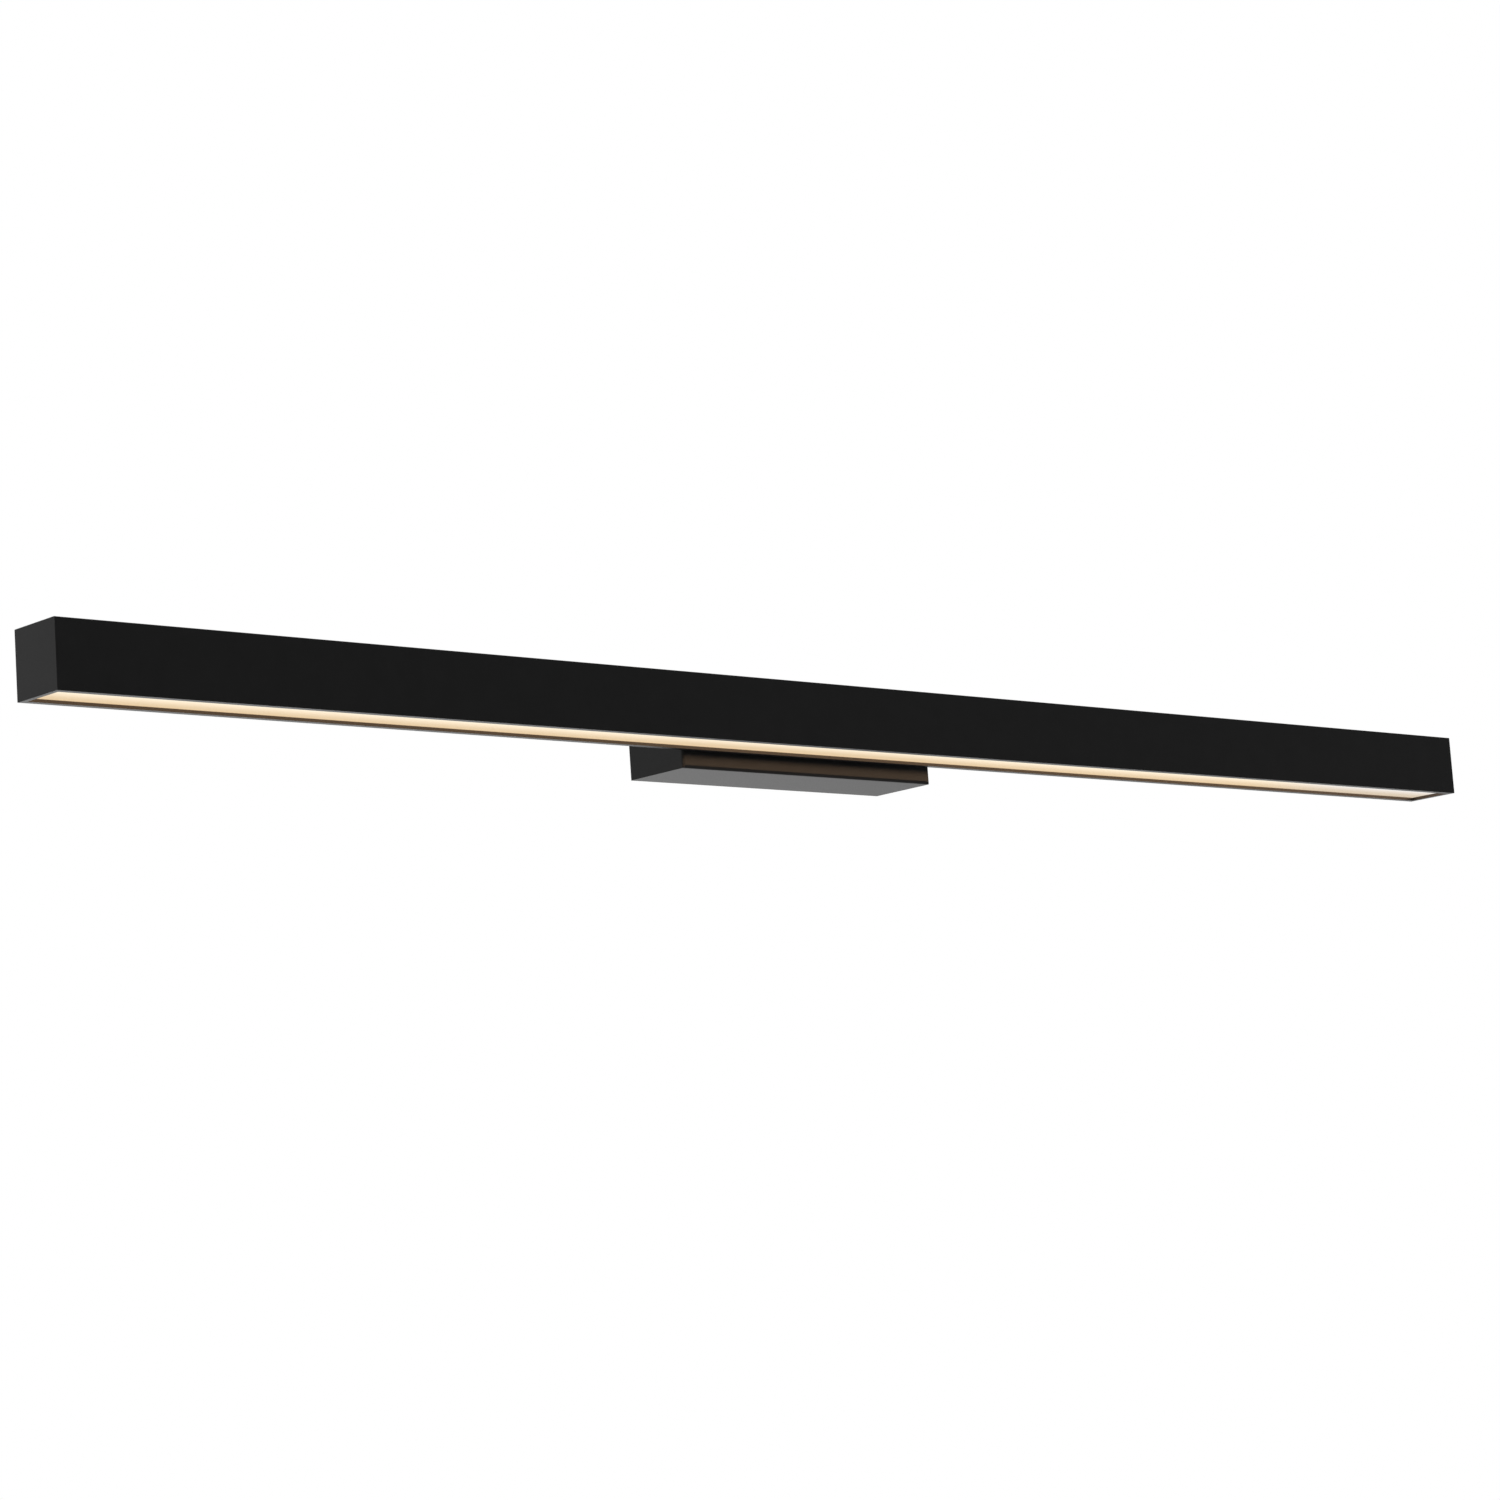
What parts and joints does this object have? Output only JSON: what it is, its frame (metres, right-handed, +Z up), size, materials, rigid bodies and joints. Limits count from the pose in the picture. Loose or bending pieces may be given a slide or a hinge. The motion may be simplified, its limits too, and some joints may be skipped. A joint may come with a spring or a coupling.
{
  "type": "vanity light bar",
  "caption": "Long square-section wall light for over a mirror, with a lit diffuser along its underside and a small box canopy behind its middle.",
  "frame": {"origin": "on the wall plane, at the middle of the wall bracket's screw pattern, which is behind the middle of the bar", "axes": "+X along the bar, +Y into the wall, +Z up; the light shines down"},
  "size_m": [1.219, 0.102, 0.0644],
  "materials": {
    "bar_finish": "satin black powder coat on aluminium",
    "canopy_finish": "satin black powder coat on sheet steel",
    "black_screws": "black oxide steel",
    "diffuser": "opal acrylic, lit warm white",
    "tray_white": "gloss white reflector paint",
    "board_white": "white solder mask",
    "led_phosphor": "yellow phosphor",
    "zinc_steel": "zinc plated steel",
    "connector_plastic": "ivory nylon",
    "red_lead": "red PVC insulation",
    "black_lead": "black PVC insulation",
    "white_lead": "white PVC insulation",
    "green_lead": "green PVC insulation",
    "bushing_nylon": "black nylon",
    "grommet_rubber": "soft black rubber",
    "ground_green": "green plated steel",
    "tinned_lug": "tin plated copper",
    "driver_plastic": "dark grey moulded housing",
    "circuit_green": "green solder mask",
    "transformer_tape": "yellow tape over ferrite",
    "capacitor_sleeve": "blue shrink sleeve",
    "copper_winding": "enamelled copper wire",
    "wire_nut_orange": "orange moulded plastic"
  },
  "bodies": {
    "root": {"bar_housing": "bar_finish", "end_cap_left": "bar_finish", "end_cap_right": "bar_finish", "bar_spacer": "bar_finish", "canopy": "canopy_finish", "canopy_set_screws": "black_screws", "bar_bolts": "black_screws", "diffuser": "diffuser", "reflector_tray": "tray_white", "led_board_1": "board_white", "led_board_2": "board_white", "led_board_3": "board_white", "led_board_4": "board_white", "led_chips_1": "led_phosphor", "led_chips_2": "led_phosphor", "led_chips_3": "led_phosphor", "led_chips_4": "led_phosphor", "board_screws": "zinc_steel", "rivet_nuts": "zinc_steel", "bolt_washers": "zinc_steel", "canopy_studs": "zinc_steel", "driver_nuts": "zinc_steel", "wall_bracket": "zinc_steel", "board_connectors": "connector_plastic", "feed_lead_positive": "red_lead", "board_jumpers": "red_lead", "feed_lead_negative": "black_lead", "supply_lead_line": "black_lead", "supply_lead_neutral": "white_lead", "ground_lead": "green_lead", "wire_bushings": "bushing_nylon", "tray_grommet": "grommet_rubber", "ground_screw": "ground_green", "ground_lug": "tinned_lug", "driver_case": "driver_plastic", "driver_lid": "driver_plastic", "driver_board": "circuit_green", "driver_transformer": "transformer_tape", "driver_capacitors": "capacitor_sleeve", "driver_inductor": "copper_winding", "wire_nuts": "wire_nut_orange"}
  },
  "joints": []
}
